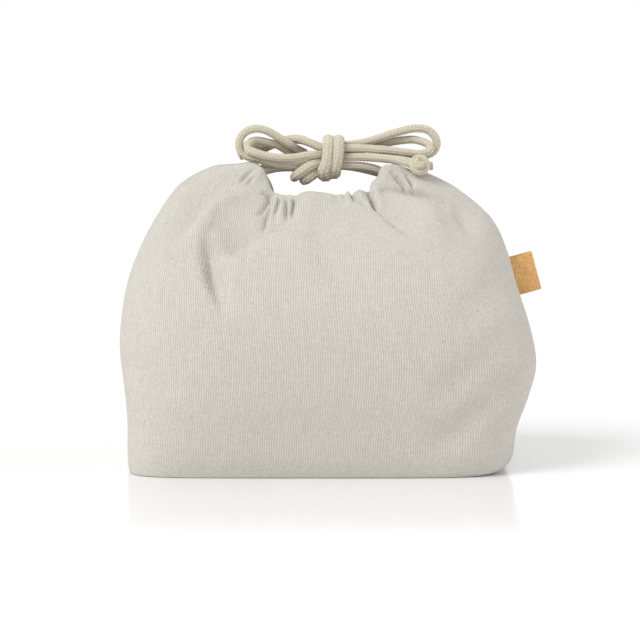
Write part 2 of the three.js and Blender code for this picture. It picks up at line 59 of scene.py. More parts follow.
# Drawcords
# Two lengths of round cotton braid run through the hem of the mouth. Both ends of each cord come
# out at one side, and the four strands are tied in a bow. A route is in millimetres, as the cord lies.
ROUTES = {
    "drawcord_left_a": [
        (-40.4, -4.4, 143), (-40.35, -3.8, 143), (-39.7, -2.8, 143.2), (-38, -2.25, 143.6),
        (-30, -1, 146), (-24, 1, 146.9), (-12, 2.4, 147), (-7.5, 4.2, 147), (-4.4, 5.8, 146.1),
        (-2.6, 5, 144.1), (-2, 2.2, 142.7), (-2.2, -1.2, 142.4), (-2.7, -4.4, 143.4), (-2.9, -6.6, 145.6),
        (-1.8, -7.5, 149), (-0.9, -6.9, 155.4), (-0.7, -5.5, 159.2), (-0.8, -1.7, 161.2),
        (-0.8, 2.8, 160.9), (-0.6, 6.4, 159), (0.6, 7.6, 156), (3, 8.1, 154), (8, 7.9, 153.7),
        (20, 8.8, 157), (27, 7.8, 158.9), (40.5, 4.4, 160.8), (45.2, 2.2, 160), (48.6, -0.1, 158.5),
        (49.7, -2.2, 156.6), (48.2, -3.6, 154.7), (44.5, -3.6, 153.8), (38, -3.2, 154.4), (18, -2.5, 156.4),
        (-1, -1.9, 156.7), (-5, -1.5, 157.1), (-10, -0.2, 159.2), (-15.5, 2.2, 161.2), (-21.5, 5.4, 160.8),
        (-28, 6.6, 158.6), (-35.6, 6.5, 157.2),
    ],
    "drawcord_left_b": [
        (-40.4, 4.4, 143), (-40.35, 3.8, 143), (-39.7, 2.85, 143.3), (-38, 2.3, 144), (-30, 2.9, 148.2),
        (-24, 3.2, 150.6), (-12, 2.7, 151.1), (-7, 5.1, 151.2), (-2, 6.8, 150.6), (1.6, 7, 148.6),
        (2.6, 5.6, 145.4), (2.1, 1.6, 143.6), (1.9, -3.2, 143.8), (2.4, -6.3, 146.4), (3.5, -7.2, 150.4),
        (4, -7, 155), (4.1, -5.5, 159.2), (4.1, -1.8, 161.2), (4.2, 2.4, 160.7), (4.9, 5.6, 159.2),
        (7, 7, 158.2), (11, 6.6, 158.4), (18, 5.2, 159.6), (34, 2.8, 164.6), (42, 2, 166.3),
        (48.2, 1.8, 165.6), (51.8, 1.6, 162.6), (53, 1.4, 158.8), (51.6, 1.3, 155.2), (47.8, 1.3, 153.2),
        (41, 1.6, 153.6), (32, 1.9, 155.2), (20, 1.8, 156.3), (0, 2.4, 156.5), (-5, 2.8, 157.3),
        (-10, 4.2, 159.2), (-15.5, 6.8, 160.6), (-21.5, 9.9, 159.8), (-28, 11, 158.3),
        (-35.4, 10.2, 155),
    ],
    "drawcord_right_a": [
        (33.7, -4.4, 140.7), (33.6, -3.8, 140.7), (32.9, -2.8, 141), (31.2, -2.25, 141.9),
        (24.5, -2.1, 145.6), (18.5, -2, 147.3), (12, -2.1, 148), (4, -2.3, 148.1), (-1, -2.6, 148.4),
        (-5.5, -4.4, 149), (-9.5, -6.4, 148.2), (-13.5, -6.7, 145.6), (-16.9, -4.8, 143),
        (-17.7, -1, 142), (-16.9, 2.6, 142.5), (-15.7, 5.8, 144.9), (-15, 7.2, 148), (-15.6, 7.4, 150.8),
        (-18, 6.9, 152.8), (-21.5, 4.4, 155.2), (-26, 2, 158), (-31, 0.4, 159.4),
        (-35.5, -0.6, 160.3), (-38.8, -2.2, 159.9), (-40.6, -4, 157.4), (-40, -6.9, 155.7),
        (-36, -8.6, 154.2), (-30, -9, 152.6), (-23, -8.4, 151.9), (-16.5, -7.6, 152.2),
        (-11.5, -6.9, 153.1), (-7.8, -5.8, 153.4), (-4.6, -4.2, 153.3), (-1, -2.6, 152.6),
        (4, -2.4, 152.3), (14, -3.3, 152.3), (22, -4.6, 151.9), (30, -7.4, 151.3), (35.2, -9.8, 150.3),
        (39.4, -11.6, 149),
    ],
    "drawcord_right_b": [
        (33.7, 4.4, 140.7), (33.6, 3.8, 140.7), (32.9, 2.8, 140.8), (31.2, 2.25, 141.3),
        (24.5, 2.1, 144.1), (12, 2.1, 147.1), (4, 2, 147.9), (0, 1.9, 147.9), (-3.5, 0.7, 146.8),
        (-6.7, -2.9, 145.2), (-9.3, -4.9, 143.3), (-12, -4.2, 141.4), (-13.1, -0.6, 140.8),
        (-12.5, 3.4, 141.9), (-11, 6.8, 144.7), (-10.2, 8, 148.4), (-10.6, 8, 151.4), (-12.6, 6.8, 154),
        (-16, 4.2, 155.9), (-20.5, 0.2, 158.6), (-31, -2, 165), (-36, -2.2, 166.2), (-40.6, -2.4, 165.2),
        (-43.9, -2.6, 162.4), (-45.1, -2.8, 158.4), (-43.6, -3, 154.4), (-40.6, -3.8, 152.4),
        (-35.5, -5, 151.2), (-29.5, -5, 149.6), (-22.5, -4, 148.2), (-16, -2.6, 147.8),
        (-11, -1.6, 148.8), (-6.5, -0.2, 150.7), (-2.5, 1.5, 152), (4, 2, 152.2), (19, 0.7, 152.1),
        (26, -1, 151.5), (33, -3.4, 150.8), (37, -5.6, 150.1), (40, -7.3, 149.4),
    ],
}
CORD_WIDTH = 4.2
# The steps of its tube along and around, and of the curve between two points of a route.
CORD_STEP = 0.3
CORD_SIDES = 32
SPAN_STEPS = 24
# A direction that no braid starts along, and how near two points are when they count as one.
START_SIDE = (0.3, 0.2, 1)
WELD = 0.001
# The braid has columns of slanted stitches, rounded along and across.
BRAID_COLUMNS = 8
BRAID_STITCH = 1.7
BRAID_SLANT = 0.55
BRAID_DEPTH = 0.42
STITCH_ROUND, COLUMN_ROUND = 0.92, 0.8
# It is pressed wide where it wraps the bow's knot, and fuller where it turns back below the knot.
KNOT_MIDDLE = (1.6, 152)
WRAP_REACH = 5.5
WRAP_SPREAD = 0.44
WRAP_START, WRAP_RAMP = 6, 1.5
LUMPS_MIDDLE = (-8, -5, 144.5)
LUMPS_REACH = (10.5, 5.5, 7)
LUMPS_SWELL = 0.38
# Cotton: its colours, with painted shade between the stitches, how far and how much light goes into it, and
# the fibres along its stitches.
BRAID_DARK, BRAID_LIGHT, BRAID_GAP_SHADE = (0.555, 0.506, 0.392), (0.675, 0.621, 0.5), (0.46, 0.405, 0.308)
BRAID_ROUGHNESS, BRAID_SHEEN = 0.78, 0.15
LIGHT_REACH, LIGHT_REACH_BY_COLOUR, LIGHT_SHARE = 1.2, (1, 0.9, 0.75), 0.4
GAP_SHADE_SHARPNESS = 3.0
WEAR_SCALE = 90.0
FIBRE_TURN = 40.0
FIBRE_BUMP, FIBRE_DEPTH = 0.5, 0.05


def smooth_route(points, closed=False):
    """Points a step apart on the smooth curve through all the points of a route."""
    points = np.array(points, float)
    if closed:
        points = np.vstack([points[-1], points, points[:2]])
    else:
        points = np.vstack([2 * points[0] - points[1], points, 2 * points[-1] - points[-2]])
    fine = []
    for k in range(1, len(points) - 2):
        before, here, there, after = points[k - 1:k + 3]
        first, span, last = (np.linalg.norm(b - a) ** 0.5
                             for a, b in ((before, here), (here, there), (there, after)))
        leave = ((here - before) / first - (there - before) / (first + span) + (there - here) / span) * span
        arrive = ((there - here) / span - (after - here) / (span + last) + (after - there) / last) * span
        q = np.linspace(0, 1, SPAN_STEPS, endpoint=False)[:, None]
        fine.append((2 * q**3 - 3 * q**2 + 1) * here + (q**3 - 2 * q**2 + q) * leave
                    + (3 * q**2 - 2 * q**3) * there + (q**3 - q**2) * arrive)
    fine = np.vstack([*fine, points[-2]])
    along = np.concatenate([[0], np.cumsum(np.linalg.norm(np.diff(fine, axis=0), axis=1))])
    at = np.linspace(0, along[-1], round(along[-1] / CORD_STEP) + 1)
    return np.stack([np.interp(at, along, fine[:, k]) for k in range(3)], axis=1)


def side_directions(line, closed):
    """For each point of a line, two directions square to it that don't twist along the way."""
    ahead = np.gradient(line, axis=0)
    if closed:
        ahead[0] = ahead[-1] = line[1] - line[-2]
    ahead /= np.linalg.norm(ahead, axis=1)[:, None]
    first = np.cross(ahead[0], START_SIDE)
    sides = [first / np.linalg.norm(first)]
    for direction in ahead[1:]:
        side = sides[-1] - direction * (sides[-1] @ direction)
        sides.append(side / np.linalg.norm(side))
    sides = np.array(sides)
    others = np.cross(ahead, sides)
    if closed:
        miss = math.atan2(sides[-1] @ others[0], sides[-1] @ sides[0])
        turn = (-miss * np.linspace(0, 1, len(line)))[:, None]
        sides, others = (np.cos(turn) * sides + np.sin(turn) * others,
                         np.cos(turn) * others - np.sin(turn) * sides)
    return sides, others


def braid_relief(around, along):
    """How far a round braid stands out, from 0 to 1: columns of slanted stitches that lean in turns."""
    column = around * BRAID_COLUMNS
    odd = np.floor(column) % 2
    across = column % 1 - 0.5
    place = (along / BRAID_STITCH + 0.5 * odd + BRAID_SLANT * (1 - 2 * odd) * across) % 1 - 0.5
    return np.sqrt(1 - STITCH_ROUND * (2 * place) ** 2) * np.sqrt(1 - COLUMN_ROUND * (2 * across) ** 2)


def pressing(line):
    """How far the braid is pressed wide along X at each point where it wraps the bow's knot."""
    from_axis = np.hypot(line[:, 1], line[:, 2] - KNOT_MIDDLE[1])
    wraps = np.exp(-(((line[:, 0] - KNOT_MIDDLE[0]) / WRAP_REACH) ** 4))
    return WRAP_SPREAD * wraps * np.clip((from_axis - WRAP_START) / WRAP_RAMP, 0, 1)


def swelling(line):
    """How much fuller the braid is at each point where it turns back below the bow's knot."""
    away = np.linalg.norm((line - LUMPS_MIDDLE) / LUMPS_REACH, axis=1)
    return LUMPS_SWELL * np.exp(-(away**4))


def shaped_grid(columns, rows, place):
    """A bmesh grid whose points go where place(u, v) says, u and v running from 0 to 1."""
    bm = bmesh.new()
    bm.loops.layers.uv.new("UVMap")
    bmesh.ops.create_grid(bm, x_segments=columns, y_segments=rows, size=0.5, calc_uvs=True)
    flat = np.array([v.co for v in bm.verts])
    u, v = (flat[:, k] - flat[:, k].min() for k in (0, 1))
    for vert, point in zip(bm.verts, place(u / u.max(), v / v.max())):
        vert.co = point
    return bm


def set_uvs(bm, change):
    """Runs every UV pair (each 0 to 1 on the grid) through change."""
    layer = bm.loops.layers.uv.active
    loops = [loop for face in bm.faces for loop in face.loops]
    pairs = np.array([loop[layer].uv for loop in loops])
    for loop, pair in zip(loops, np.stack(change(pairs[:, 0], pairs[:, 1]), axis=1)):
        loop[layer].uv = pair


def close_ends(bm):
    """Fills the open rings of a tube with fans."""
    edges = [edge for edge in bm.edges if edge.is_boundary]
    faces = bmesh.ops.holes_fill(bm, edges=edges, sides=0)["faces"]
    bmesh.ops.poke(bm, faces=faces)


def braided_tube(line, closed=False):
    """A bmesh tube of braid along a line, in millimetres, scaled to metres."""
    sides, others = side_directions(line, closed)
    pressed, swollen = pressing(line), swelling(line)
    steps = len(line) - 1
    length = np.linalg.norm(np.diff(line, axis=0), axis=1).sum()
    stitches = round(length / BRAID_STITCH) * BRAID_STITCH if closed else length

    def place(u, v):
        """The tube's points, in metres."""
        row = np.rint(v * steps).astype(int)
        relief = braid_relief(u, v * stitches)
        radius = (CORD_WIDTH / 2 - BRAID_DEPTH * (1 - relief)) * (1 + swollen[row])
        turn = 2 * math.pi * u
        out = radius[:, None] * (np.cos(turn)[:, None] * sides[row] + np.sin(turn)[:, None] * others[row])
        out[:, 0] *= 1 + pressed[row]
        return (line[row] + out) * MM

    bm = shaped_grid(CORD_SIDES, steps, place)
    set_uvs(bm, lambda u, v: (u, v * stitches * MM))
    bmesh.ops.remove_doubles(bm, verts=bm.verts, dist=WELD * MM)
    if not closed:
        close_ends(bm)
    bmesh.ops.recalc_face_normals(bm, faces=bm.faces)
    return bm


def new_piece(name, bm, material, smooth=True):
    """The bmesh as an object of the scene, with its material."""
    mesh = bpy.data.meshes.new(name)
    bm.to_mesh(mesh)
    bm.free()
    if smooth:
        mesh.shade_smooth()
    else:
        mesh.shade_flat()
    mesh.materials.append(material)
    piece = bpy.data.objects.new(name, mesh)
    bpy.context.scene.collection.objects.link(piece)
    return piece


def new_node(tree, kind, inputs=None, **settings):
    """A shader node with its settings and its inputs, each of which is a value or another node's socket."""
    made = tree.nodes.new(kind)
    for name, value in settings.items():
        setattr(made, name, value)
    for name, value in (inputs or {}).items():
        if isinstance(value, bpy.types.NodeSocket):
            tree.links.new(value, made.inputs[name])
        else:
            made.inputs[name].default_value = value
    return made


def calculate(tree, operation, *values):
    """The output of a Math node."""
    return new_node(tree, "ShaderNodeMath", dict(enumerate(values)), operation=operation).outputs[0]


def noise(tree, place, scale, detail):
    """The output of a Noise Texture node."""
    inputs = {"Vector": place, "Scale": scale, "Detail": detail}
    return new_node(tree, "ShaderNodeTexNoise", inputs).outputs[0]


def mixed_colours(tree, factor, one, other):
    """A colour between two, by a factor."""
    mix = new_node(tree, "ShaderNodeMix", data_type="RGBA")
    for socket, value in ((mix.inputs[0], factor), (mix.inputs[6], one), (mix.inputs[7], other)):
        if isinstance(value, bpy.types.NodeSocket):
            tree.links.new(value, socket)
        else:
            socket.default_value = (*value, 1)
    return mix.outputs[2]


def new_material(name, roughness):
    """A material with its node tree and its Principled BSDF."""
    material = bpy.data.materials.new(name)
    material.use_nodes = True
    surface = material.node_tree.nodes["Principled BSDF"]
    surface.inputs["Roughness"].default_value = roughness
    return material, material.node_tree, surface


def add_bump(tree, surface, height, strength, depth):
    """Lets a height, in millimetres of depth, turn the surface's normals."""
    bump = new_node(tree, "ShaderNodeBump", {"Strength": strength, "Distance": depth * MM, "Height": height})
    tree.links.new(bump.outputs[0], surface.inputs["Normal"])


def cotton_braid():
    """Cotton yarn in slanted stitches, with painted shade between them, that lets a little light in."""
    material, tree, surface = new_material("cotton_braid", BRAID_ROUGHNESS)
    surface.inputs["Sheen Weight"].default_value = BRAID_SHEEN
    surface.inputs["Subsurface Weight"].default_value = LIGHT_SHARE
    surface.inputs["Subsurface Radius"].default_value = LIGHT_REACH_BY_COLOUR
    surface.inputs["Subsurface Scale"].default_value = LIGHT_REACH * MM
    uv = new_node(tree, "ShaderNodeUVMap", uv_map="UVMap")
    parts = new_node(tree, "ShaderNodeSeparateXYZ", {0: uv.outputs[0]})
    column = calculate(tree, "MULTIPLY", parts.outputs[0], float(BRAID_COLUMNS))
    odd = calculate(tree, "MODULO", calculate(tree, "FLOOR", column), 2.0)
    across = calculate(tree, "SUBTRACT", calculate(tree, "FRACT", column), 0.5)
    slant = calculate(tree, "MULTIPLY_ADD", odd, -2 * BRAID_SLANT, BRAID_SLANT)
    lean = calculate(tree, "MULTIPLY", across, slant)
    along = calculate(tree, "MULTIPLY", parts.outputs[1], 1 / (BRAID_STITCH * MM))
    place = calculate(tree, "ADD", calculate(tree, "MULTIPLY_ADD", odd, 0.5, along), lean)
    stitch = calculate(tree, "SUBTRACT", calculate(tree, "FRACT", place), 0.5)
    # Painted shade: the colour darkens towards the edge of each stitch and each column, where shade falls
    # between them.
    gap_shades = []
    for from_middle in (stitch, across):
        share = calculate(tree, "ABSOLUTE", calculate(tree, "MULTIPLY", from_middle, 2.0))
        gap_shades.append(calculate(tree, "POWER", share, GAP_SHADE_SHARPNESS))
    wear = noise(tree, uv.outputs[0], WEAR_SCALE, detail=3.0)
    yarn = mixed_colours(tree, wear, BRAID_DARK, BRAID_LIGHT)
    colour = mixed_colours(tree, calculate(tree, "MAXIMUM", *gap_shades), yarn, BRAID_GAP_SHADE)
    tree.links.new(colour, surface.inputs["Base Color"])
    fibres = calculate(tree, "SINE", calculate(tree, "MULTIPLY", place, FIBRE_TURN))
    add_bump(tree, surface, fibres, FIBRE_BUMP, FIBRE_DEPTH)
    return material


braid = cotton_braid()
cords = {}
for name, route in ROUTES.items():
    line = smooth_route(route)
    cord = new_piece(f"braid_{name}", braided_tube(line), braid)
    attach(cord, "root")
    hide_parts(name)
    cords[name] = (cord, line)

# Stopper knots
# The two ends of each cord are turned round each other, drawn tight and cut off a little past the knot,
# which is too thick to slip into the hem. A knot is built of three round turns of braid and two ends.
KNOT_WIDTH = 11
COIL_POINTS = 12
COILS = [  # size, tip about X, tip about Y, x, y, z
    (0.95, 1.35, 0, 0, -1.4, 0),
    (0.9, 1.1, 0.45, 0.5, 1.8, 0.2),
    (0.8, 0.5, 1.25, -0.8, 0, 0),
]
CUT_ENDS = [  # turn about Z, x, y, z
    (0.15, 0.3, -1.4, -0.1),
    (-1.55, 3.2, 2.4, -0.6),
]
CUT_END = 7
KNOTS = {  # x, y, z, turn about Y
    "left": (-39.8, 8, 155.5, 2.5),
    "right": (43.8, -12, 148.6, 0),
}


def turned(points, axis, angle):
    """Points turned about X, Y or Z."""
    a, b = [(1, 2), (2, 0), (0, 1)]["xyz".index(axis)]
    out = np.array(points, float)
    out[:, a], out[:, b] = (out[:, a] * math.cos(angle) - out[:, b] * math.sin(angle),
                            out[:, a] * math.sin(angle) + out[:, b] * math.cos(angle))
    return out


def coil(size, tip_x, tip_y, shift):
    """The points of one round turn of braid, about the knot's middle."""
    radius = (KNOT_WIDTH - CORD_WIDTH) / 2
    angles = np.linspace(0, 2 * math.pi, COIL_POINTS, endpoint=False)
    circle = np.stack([np.cos(angles), np.sin(angles), 0 * angles], axis=1) * radius * size
    return turned(turned(circle, "y", tip_y), "x", tip_x) + shift


def cut_end(angle, shift):
    """The points of one short end of braid, which runs from front to back before it is turned."""
    stub = [(0, k * CUT_END / 4, 0) for k in (-2, -1, 0, 1, 2)]
    return turned(stub, "z", angle) + shift


def joined(parts):
    """Several bmeshes as one."""
    whole = bmesh.new()
    for part in parts:
        mesh = bpy.data.meshes.new("part")
        part.to_mesh(mesh)
        part.free()
        whole.from_mesh(mesh)
        bpy.data.meshes.remove(mesh)
    return whole


for side, (x, y, z, turn) in KNOTS.items():
    parts = []
    for size, tip_x, tip_y, *shift in COILS:
        circle = turned(coil(size, tip_x, tip_y, shift), "y", turn) + (x, y, z)
        parts.append(braided_tube(smooth_route(circle, closed=True), closed=True))
    for angle, *shift in CUT_ENDS:
        stub = turned(cut_end(angle, shift), "y", turn) + (x, y, z)
        parts.append(braided_tube(smooth_route(stub)))
    knot = new_piece(f"stopper_knot_{side}", joined(parts), braid)
    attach(knot, "root")
    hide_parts(f"end_knot_{side}")
    for strand in "ab":
        cord, line = cords[f"drawcord_{side}_{strand}"]

# Front and back panels
# Each is one cut of undyed canvas with slubs and flecks in its yarn, turned down at the mouth into a
# hem that holds the drawcords, gathered there, and sewn to the other at the two sides.

# Each row is a line round the bag, from the base up and over the rim: how far out and how high it is at
# the left, right, front and back, how square it is, and how it climbs from the middle to the sides.
LEVEL_COLUMNS = ("left", "leftZ", "right", "rightZ", "front", "frontZ", "back", "backZ",
                 "square", "climb", "crest")
LEVELS = np.array([
    (-98.5, 0, 81, 0, -51, 0, 51, 0, 6.5, 2, 1),
    (-99.3, 2.5, 86, 2, -52, 2.5, 52, 2.5, 6, 2, 1),
    (-99.8, 9, 90, 7.5, -54.5, 9, 54, 9, 5.2, 2, 1),
    (-100, 23, 92, 20, -57.5, 23, 57, 23, 4.4, 2, 1),
    (-101.5, 38, 97.8, 35, -60.5, 38, 60, 38, 3.8, 2, 1),
    (-104, 56, 102, 51, -62, 54, 62, 54, 3.4, 2, 1),
    (-103.2, 74, 99, 69, -61.5, 70, 61, 70, 3.2, 2, 1),
    (-100, 92, 93, 88, -58, 86, 57, 86, 3, 2, 1),
    (-93.4, 109.5, 88.4, 105, -51.5, 100, 50, 100, 2.8, 2, 1),
    (-84.6, 125.6, 80.2, 122, -43, 111.5, 42, 111, 2.6, 2, 1),
    (-74.4, 139, 64.8, 135.6, -34, 121.5, 33.5, 120, 2.5, 2.4, 1),
    (-60.2, 147, 52.4, 142.6, -25.5, 129, 25.5, 127, 2.4, 3.4, 1.2),
    (-49, 149.4, 41, 147, -19.5, 133.2, 19.5, 130.5, 2.5, 7, 3),
    (-39, 150.2, 33, 149.6, -15, 135, 15, 131.6, 2.8, 11, 5),
    (-34.5, 144, 28, 143, -11, 131.5, 11, 128.5, 2.8, 11, 5),
])
LAST_LEVEL = len(LEVELS) - 1
LINE_POINTS = 401
# The front's rim rises and dips between its gathers, from this level up.
RIM_START = LAST_LEVEL - 2
RIM_RISES = [(-31.5, 2, 2.5), (-16.9, -2.2, 1.6), (21.5, 4.4, 5.5), (26.8, 3, 2.5)]  # x, rise, width
# The hem is a wide tube of cloth, more even inside than outside. At each side of the bag it is open in
# a slit, and the mouth dips there. Below the slit the two panels meet in the seam.
CLOTH = 1.1
CASING = 6
CASING_START, CASING_RAMP = LAST_LEVEL - 4, 1.5
HEM_EVENNESS = 0.7
SEAM_GAP = 0.3
SLIT_START, SLIT_RAMP = LAST_LEVEL - 2.7, 1.2
SLIT_WIDTH = 9.6
SLIT_REACH = 10
VALLEY_DEPTH = {"left": 5, "right": 6}
VALLEY_WIDTH = 5.5
# x, z and rise at the fold's start, middle and end, its width on the left and on the right of that
# way, and how sharp its crest is
FOLDS = {
    "front": [
        (-50, 139.5, -1.4, -65, 124.5, -5.6, -81, 103, 0, 3.5, 8, 1.8),
        (-33, 135, 1.6, -59.5, 125, 5.6, -88, 97, 0, 6.5, 4.5, 1.15),
        (-31, 116, -3.4, -44, 111.5, -7.8, -54, 108.5, -3, 3.6, 10, 1.5),
        (-58.5, 117, -1.4, -58.2, 100, -7.6, -46.5, 71, 0, 8, 2.2, 1.6),
        (-46, 110, 0.5, -47, 98, 1.2, -43, 80, 0, 5, 6, 2),
        (-37.5, 146, -1.2, -41.7, 142.4, -2, -45.4, 138.2, 0, 0.9, 1, 1.5),
        (-36.2, 143.6, -0.8, -39, 140.7, -1.6, -42, 137.2, 0, 0.8, 0.9, 1.5),
        (-33, 147, 0.8, -36, 143.5, 1, -41, 139, 0, 2.2, 2.2, 2),
        (-32.5, 134.5, -1.2, -30, 134, -2.6, -27.5, 134.5, -1.2, 0.9, 0.9, 1.6),
        (-28, 135, -0.8, -22, 134, -1.4, -17, 133, -1, 4.5, 4.5, 2),
        (-29.5, 132.5, -2, -32.3, 127.8, -2.4, -36, 124.5, 0, 0.9, 1.2, 1.7),
        (-28, 131.5, -1.8, -30.4, 123.5, -2.4, -33, 116, 0, 0.9, 1.2, 1.7),
        (-26.4, 131.8, 1.2, -28.4, 125.5, 1.2, -31, 118, 0, 1.6, 1.6, 2),
        (-24.8, 132, -1.8, -26, 128, -2, -28, 123, 0, 0.8, 1.1, 1.7),
        (-23, 131.5, 1.3, -24, 126, 1.2, -26, 118, 0, 1.8, 1.8, 2),
        (-20.8, 130.5, -1.8, -20.8, 126.5, -2.2, -20.4, 120, 0, 0.8, 1.1, 1.7),
        (-19.2, 131.5, 1.2, -19.2, 127, 1, -19.5, 120, 0, 1.4, 1.4, 2),
        (-17.5, 132, -2.8, -18.2, 127, -3, -18.6, 121, 0, 0.8, 1.1, 1.7),
        (-11, 134, 1, -11.5, 122, 1.4, -14, 104, 0, 6, 6, 2),
        (3, 136, -1, 3.5, 131, -0.8, 5, 124, 0, 2.8, 2.8, 2),
        (6.6, 137, -1.2, 7, 133.5, -1.2, 7.5, 129, 0, 1, 1, 1.6),
        (8.3, 138, 1.2, 9, 133, 1, 10, 127, 0, 1.8, 1.8, 2),
        (10.2, 136.5, -2, 11, 133.5, -2.4, 13.5, 130.5, 0, 0.7, 0.9, 1.4),
        (13.5, 138, 1.4, 14.6, 134, 1.2, 17, 129.5, 0, 1.8, 1.8, 2),
        (12.5, 133.2, -1.6, 15.7, 130.6, -2.2, 18.4, 128.8, 0, 0.7, 0.9, 1.4),
        (18, 138, -2, 20.6, 131.6, -5, 23, 126.3, 0, 0.8, 1.1, 1.5),
        (22, 139, 1.5, 24, 132.5, 1.6, 28, 126.5, 0, 2.4, 3, 2),
        (22, 129, -2.4, 29.5, 122, -3.6, 44, 111, 0, 6, 1.2, 1.4),
        (27, 139, 0.6, 44, 137, 1.8, 61, 130, 0, 4.5, 1.2, 1.6),
        (26, 136.6, -1.4, 44, 134.6, -3.6, 61, 127, 0, 0.8, 1.3, 1.4),
        (25, 147, 1.2, 27.5, 144.5, 1.4, 30, 142, 0.4, 3, 3, 2),
        (33, 142.6, -2, 35.8, 138.8, -4.4, 37.4, 136, -1, 0.7, 1, 1.4),
        (30.5, 145, -1.4, 33, 141, -2.4, 35.4, 138.6, 0, 0.7, 1, 1.4),
        (37.8, 143, -1.4, 39.7, 139.4, -4, 41, 137, -1, 0.7, 0.9, 1.4),
        (37, 130, 0.8, 49, 124.5, 4, 57, 107, 0, 4, 9, 1.7),
        (57, 131, -1.4, 65, 123.5, -4.6, 70, 111, 0, 6, 3.6, 1.8),
        (-8, 122, -0.4, 1, 100, -1.8, 30, 84, 0, 9, 5, 2),
        (84, 44, -2.4, 64, 27, -3.2, 40, 9, 0, 7, 7, 2),
        (82, 66, -1.6, 62, 48, -2.4, 40, 34, 0, 8, 8, 2),
        (86, 100, -1, 72, 84, -1.6, 52, 68, 0, 9, 9, 2),
        (-96, 52, -1, -86, 48, -1, -70, 40, 0, 6, 6, 2),
    ],
    "back": [
        (-33, 138, 1.5, -50, 123, 2.4, -74, 104, 0, 6, 6, 2),
        (-38, 130, -1.4, -54, 114, -2, -66, 92, 0, 5, 5, 2),
        (-24, 132, -1.6, -28, 124, -1.8, -34, 112, 0, 2.8, 2.8, 2),
        (-13, 131, -1.6, -14, 123, -1.6, -17, 110, 0, 2.8, 2.8, 2),
        (-5, 131, 1.4, -5, 122, 1.2, -6, 104, 0, 4, 4, 2),
        (2, 131, -1.4, 3, 124, -1.4, 5, 114, 0, 2.8, 2.8, 2),
        (8, 131, 1.4, 10, 123, 1.2, 13, 112, 0, 3.2, 3.2, 2),
        (15, 132, -1.6, 18, 124, -2, 24, 111, 0, 2.8, 2.8, 2),
        (26, 133, 1.4, 38, 121, 2.6, 56, 104, 0, 6, 6, 2),
        (30, 128, -1.6, 44, 111, -2.6, 55, 86, 0, 5, 5, 2),
        (-20, 92, -0.8, -34, 78, -1.4, -40, 56, 0, 9, 9, 2),
        (66, 34, -1.2, 48, 22, -1.4, 30, 10, 0, 7, 7, 2),
    ],
}
# The straight steps of a fold's way, how far all the folds together may lift the cloth, and how far
# from a seam they fade.
FOLD_STEPS = 24
FOLD_LIMIT = 10
FOLD_FADE = 12
# The rows of a panel's sheet: level reached, rows up to there. Past the lip it comes down inside the
# hem, to its end.
SHEET_ROWS = [(6, 26), (10, 64), (13, 62), (14, 14)]
HEM_ROWS = 28
LIP = 0.6
HEM_END = 10.3
PANEL_COLUMNS = 240
# Which way a panel faces along Y, and how far up and down its normals look, in levels.
OUTWARD = {"front": -1, "back": 1}
NORMAL_REACH = 0.06
# The weave is true to size in the left half of a panel. Towards the right seam it is spread, out to the
# straight edge of the flat cut but by no more than this share of the half row.
FLAT_HALF = 132
SPREAD_SHARE = 0.9


def smoothstep(start, end, value):
    """From 0 to 1, soft at both ends, as the value goes from start to end."""
    q = np.clip((value - start) / (end - start), 0, 1)
    return q * q * (3 - 2 * q)


def level_size(name, t):
    """One of the levels' sizes at level t, on a smooth curve through all the levels."""
    values = LEVELS[:, LEVEL_COLUMNS.index(name)]
    i = min(LAST_LEVEL - 1, int(t))
    a, b, c, d = (values[min(LAST_LEVEL, max(0, k))] for k in (i - 1, i, i + 1, i + 2))
    q = t - i
    return b + 0.5 * q * (c - a + q * (2 * a - 5 * b + 4 * c - d + q * (3 * (b - c) + d - a)))


def level_line(side, t):
    """A panel's level line as points at even distances, and its length."""
    left, right = level_size("left", t), level_size("right", t)
    square, climb, crest = (level_size(name, t) for name in ("square", "climb", "crest"))
    turn = math.pi * (1 - np.linspace(0, 1, LINE_POINTS))
    across = np.sign(np.cos(turn)) * np.abs(np.cos(turn)) ** (2 / square)
    side_z = np.where(across < 0, level_size("leftZ", t), level_size("rightZ", t))
    middle_z = level_size(side + "Z", t)
    x = (left + right) / 2 + (right - left) / 2 * across
    y = level_size(side, t) * np.abs(np.sin(turn)) ** (2 / square)
    z = middle_z + (side_z - middle_z) * (1 - (1 - np.abs(across) ** climb) ** crest)
    if side == "front":
        for place, rise, width in RIM_RISES:
            z = z + rise * np.exp(-(((x - place) / width) ** 2)) * smoothstep(RIM_START, LAST_LEVEL, t)
    line = np.stack([x, y, z], axis=1)
    along = np.concatenate([[0], np.cumsum(np.linalg.norm(np.diff(line, axis=0), axis=1))])
    at = np.linspace(0, along[-1], PANEL_COLUMNS + 1)
    return np.stack([np.interp(at, along, line[:, k]) for k in range(3)], axis=1), along[-1]


def line_normals(side, t, line):
    """The way the cloth faces at each point of the line at level t."""
    outward = OUTWARD[side]
    above = level_line(side, min(LAST_LEVEL, t + NORMAL_REACH))[0]
    below = level_line(side, max(0, t - NORMAL_REACH))[0]
    across = np.gradient(line, axis=0)
    across[0], across[-1] = (0, outward, 0), (0, -outward, 0)
    normals = -outward * np.cross(across, above - below)
    if t == 0:
        normals[:, 2] = 0
    return normals / np.linalg.norm(normals, axis=1)[:, None]


